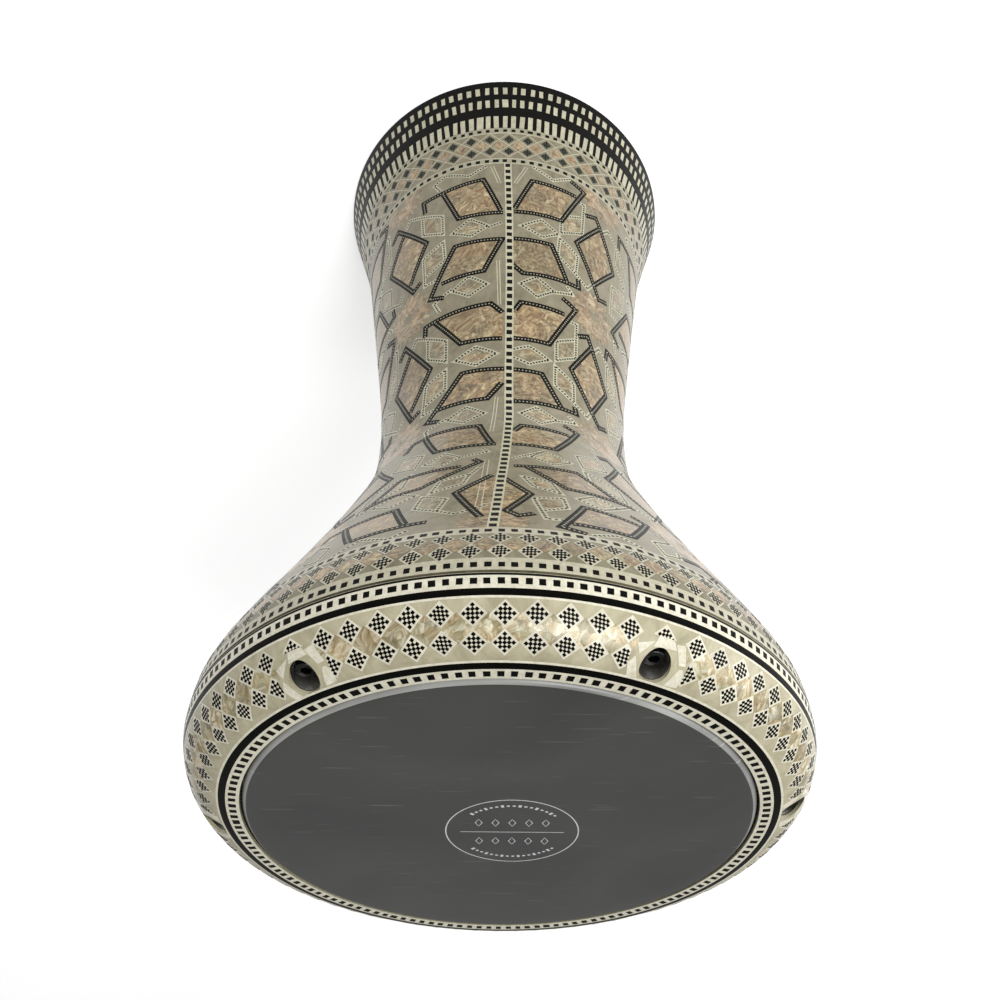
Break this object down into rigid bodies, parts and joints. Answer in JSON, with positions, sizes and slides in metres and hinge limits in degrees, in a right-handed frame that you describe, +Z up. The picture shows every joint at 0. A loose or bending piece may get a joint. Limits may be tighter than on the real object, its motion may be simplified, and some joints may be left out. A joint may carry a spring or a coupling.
{
  "type": "darbuka",
  "caption": "Goblet hand drum: cast shell with a flared foot, a synthetic head under a rounded tuning ring, and star-pattern inlay over the whole outside.",
  "frame": {"origin": "centre of the foot's rim, on the surface that the drum stands on", "axes": "+Z up along the drum's axis of symmetry, from the foot to the head; the seam of the stem inlay faces -Y"},
  "size_m": [0.2758, 0.2758, 0.47],
  "materials": {
    "cast_aluminium": "cast and turned, bare metal",
    "hoop_aluminium": "drawn, bright",
    "head_film": "dark grey coated polyester film, half-gloss, with a clear margin over the bearing edge",
    "ivory_inlay": "ivory-coloured strip with black squares, under clear lacquer",
    "pearl_inlay": "mother-of-pearl, ivory and black tesserae in grey-beige filler, under clear lacquer",
    "black_inlay": "black strip with ivory bars and squares, under clear lacquer",
    "black_steel": "black oxide socket screws",
    "zinc_steel": "zinc plated"
  },
  "bodies": {
    "shell_assembly": {"shell": "cast_aluminium", "head_film": "head_film", "bowl_border_inlay": "ivory_inlay", "stem_inlay_sheet": "pearl_inlay", "stem_seam_strip": "ivory_inlay", "foot_border_inlay": "pearl_inlay", "foot_edge_inlay": "black_inlay"},
    "tuning_ring_assembly": {"tuning_ring": "cast_aluminium", "head_hoop": "hoop_aluminium", "ring_collar_inlay": "ivory_inlay", "ring_field_inlay": "pearl_inlay", "ring_edge_inlay": "ivory_inlay", "screw_washer_1": "zinc_steel", "screw_washer_2": "zinc_steel", "screw_washer_3": "zinc_steel", "screw_washer_4": "zinc_steel", "screw_washer_5": "zinc_steel", "screw_washer_6": "zinc_steel"},
    "screw_1": {"tension_screw_1": "black_steel"},
    "screw_2": {"tension_screw_2": "black_steel"},
    "screw_3": {"tension_screw_3": "black_steel"},
    "screw_4": {"tension_screw_4": "black_steel"},
    "screw_5": {"tension_screw_5": "black_steel"},
    "screw_6": {"tension_screw_6": "black_steel"}
  },
  "joints": [
    {"name": "ring_travel", "type": "slide", "parent": "shell_assembly", "child": "tuning_ring_assembly", "axis": [0, 0, 1], "range_m": [-0.0008, 0.004]},
    {"name": "screw_1_turn", "type": "hinge", "parent": "tuning_ring_assembly", "child": "screw_1", "pos_m": [-0.05462, -0.11299, 0.457], "axis": [0, 0, 1], "range_deg": [-361, 1801]},
    {"name": "screw_2_turn", "type": "hinge", "parent": "tuning_ring_assembly", "child": "screw_2", "pos_m": [0.07054, -0.1038, 0.457], "axis": [0, 0, 1], "range_deg": [-361, 1801]},
    {"name": "screw_3_turn", "type": "hinge", "parent": "tuning_ring_assembly", "child": "screw_3", "pos_m": [0.12516, 0.00919, 0.457], "axis": [0, 0, 1], "range_deg": [-361, 1801]},
    {"name": "screw_4_turn", "type": "hinge", "parent": "tuning_ring_assembly", "child": "screw_4", "pos_m": [0.05462, 0.11299, 0.457], "axis": [0, 0, 1], "range_deg": [-361, 1801]},
    {"name": "screw_5_turn", "type": "hinge", "parent": "tuning_ring_assembly", "child": "screw_5", "pos_m": [-0.07054, 0.1038, 0.457], "axis": [0, 0, 1], "range_deg": [-361, 1801]},
    {"name": "screw_6_turn", "type": "hinge", "parent": "tuning_ring_assembly", "child": "screw_6", "pos_m": [-0.12516, -0.00919, 0.457], "axis": [0, 0, 1], "range_deg": [-361, 1801]}
  ],
  "couplings": [
    {"joint": "screw_1_turn", "follows": "ring_travel", "rad_per_m": 7854},
    {"joint": "screw_2_turn", "follows": "ring_travel", "rad_per_m": 7854},
    {"joint": "screw_3_turn", "follows": "ring_travel", "rad_per_m": 7854},
    {"joint": "screw_4_turn", "follows": "ring_travel", "rad_per_m": 7854},
    {"joint": "screw_5_turn", "follows": "ring_travel", "rad_per_m": 7854},
    {"joint": "screw_6_turn", "follows": "ring_travel", "rad_per_m": 7854}
  ]
}
